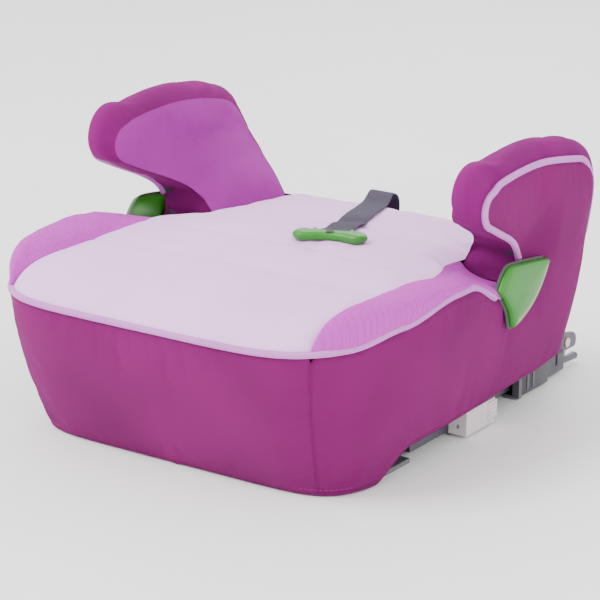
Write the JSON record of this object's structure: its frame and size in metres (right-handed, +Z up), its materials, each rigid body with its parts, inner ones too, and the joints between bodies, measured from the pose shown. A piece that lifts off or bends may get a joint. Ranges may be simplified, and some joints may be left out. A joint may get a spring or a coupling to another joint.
{
  "type": "booster seat",
  "caption": "Backless child booster seat with padded fabric cover, hooked armrests, belt guides, a strap with a belt clip and sliding rigid latch arms at the back.",
  "frame": {"origin": "middle of the flat underside of the base, which rests on the car seat or floor", "axes": "+Z up, the child faces -Y, +X is the child's left"},
  "size_m": [0.413, 0.467, 0.2519],
  "materials": {
    "dark_plastic": "moulded, fine texture",
    "rubber": "matt",
    "screw_steel": "zinc plated",
    "foam": "open cell foam",
    "pad_fabric": "woven polyester, satin sheen",
    "bolster_fabric": "melange knit",
    "cover_fabric": "woven polyester",
    "piping": "satin piping",
    "guide_plastic": "satin moulded",
    "coated_steel": "dark coating",
    "grey_plastic": "moulded",
    "bright_steel": "zinc plated",
    "rivet": "turned, yellow zinc",
    "latch_plastic": "moulded, fine texture",
    "webbing": "woven webbing"
  },
  "bodies": {
    "base": {"base_shell": "dark_plastic", "base_tray": "dark_plastic", "armrest_core_left": "dark_plastic", "armrest_core_right": "dark_plastic", "rubber_feet": "rubber", "tray_screws": "screw_steel", "armrest_screws": "screw_steel", "guide_screws": "screw_steel", "rail_screws": "screw_steel", "anchor_screw": "screw_steel", "seat_foam": "foam", "seat_pad": "pad_fabric", "bolster_left": "bolster_fabric", "bolster_right": "bolster_fabric", "cover_skirt": "cover_fabric", "armrest_cover_left": "cover_fabric", "armrest_cover_right": "cover_fabric", "seat_piping": "piping", "armrest_piping_left": "piping", "armrest_piping_right": "piping", "belt_guide_left": "guide_plastic", "belt_guide_right": "guide_plastic", "isofix_crossbar": "coated_steel", "isofix_rail_left": "coated_steel", "isofix_rail_right": "coated_steel", "strap_adjuster": "latch_plastic", "strap_anchor": "latch_plastic", "belt_strap": "webbing"},
    "belt_clip": {"belt_clip": "guide_plastic"},
    "isofix_arm_left": {"isofix_bar_left": "coated_steel", "adjuster_housing_left": "grey_plastic", "button_spring_left": "bright_steel", "arm_sleeve_left": "latch_plastic", "latch_shell_left": "latch_plastic", "latch_jaw_left": "coated_steel", "latch_pin_left": "rivet", "release_spring_left": "bright_steel"},
    "adjust_button_left": {"adjust_button_left": "grey_plastic", "lock_plate_left": "bright_steel"},
    "release_slider_left": {"release_slider_left": "grey_plastic"},
    "latch_hook_left": {"latch_hook_left": "bright_steel"},
    "isofix_arm_right": {"isofix_bar_right": "coated_steel", "adjuster_housing_right": "grey_plastic", "button_spring_right": "bright_steel", "arm_sleeve_right": "latch_plastic", "latch_shell_right": "latch_plastic", "latch_jaw_right": "coated_steel", "latch_pin_right": "rivet", "release_spring_right": "bright_steel"},
    "adjust_button_right": {"adjust_button_right": "grey_plastic", "lock_plate_right": "bright_steel"},
    "release_slider_right": {"release_slider_right": "grey_plastic"},
    "latch_hook_right": {"latch_hook_right": "bright_steel"}
  },
  "joints": [
    {"name": "isofix_slide_left", "type": "slide", "parent": "base", "child": "isofix_arm_left", "axis": [0, 1, 0], "range_m": [-0.054, 0.008]},
    {"name": "adjust_press_left", "type": "slide", "parent": "isofix_arm_left", "child": "adjust_button_left", "axis": [-1, 0, 0], "range_m": [0, 0.003], "stiffness_N_per_m": 900, "springref_m": -0.002, "deforming": ["button_spring_left"]},
    {"name": "release_slide_left", "type": "slide", "parent": "isofix_arm_left", "child": "release_slider_left", "axis": [0, 1, 0], "range_m": [0, 0.006], "stiffness_N_per_m": 600, "springref_m": -0.002, "deforming": ["release_spring_left"]},
    {"name": "hook_swing_left", "type": "hinge", "parent": "isofix_arm_left", "child": "latch_hook_left", "pos_m": [0.14, 0.243, 0.0245], "axis": [1, 0, 0], "range_deg": [0, 50]},
    {"name": "isofix_slide_right", "type": "slide", "parent": "base", "child": "isofix_arm_right", "axis": [0, 1, 0], "range_m": [-0.054, 0.008]},
    {"name": "adjust_press_right", "type": "slide", "parent": "isofix_arm_right", "child": "adjust_button_right", "axis": [1, 0, 0], "range_m": [0, 0.003], "stiffness_N_per_m": 900, "springref_m": -0.002, "deforming": ["button_spring_right"]},
    {"name": "release_slide_right", "type": "slide", "parent": "isofix_arm_right", "child": "release_slider_right", "axis": [0, 1, 0], "range_m": [0, 0.006], "stiffness_N_per_m": 600, "springref_m": -0.002, "deforming": ["release_spring_right"]},
    {"name": "hook_swing_right", "type": "hinge", "parent": "isofix_arm_right", "child": "latch_hook_right", "pos_m": [-0.14, 0.243, 0.0245], "axis": [1, 0, 0], "range_deg": [0, 50]},
    {"name": "clip_swing", "type": "hinge", "parent": "base", "child": "belt_clip", "pos_m": [0.02916, 0.03784, 0.158], "axis": [-0.9426, -0.3338, 0], "range_deg": [0, 90]}
  ],
  "couplings": [
    {"joint": "hook_swing_left", "follows": "release_slide_left", "rad_per_m": 145.43},
    {"joint": "hook_swing_right", "follows": "release_slide_right", "rad_per_m": 145.43}
  ]
}
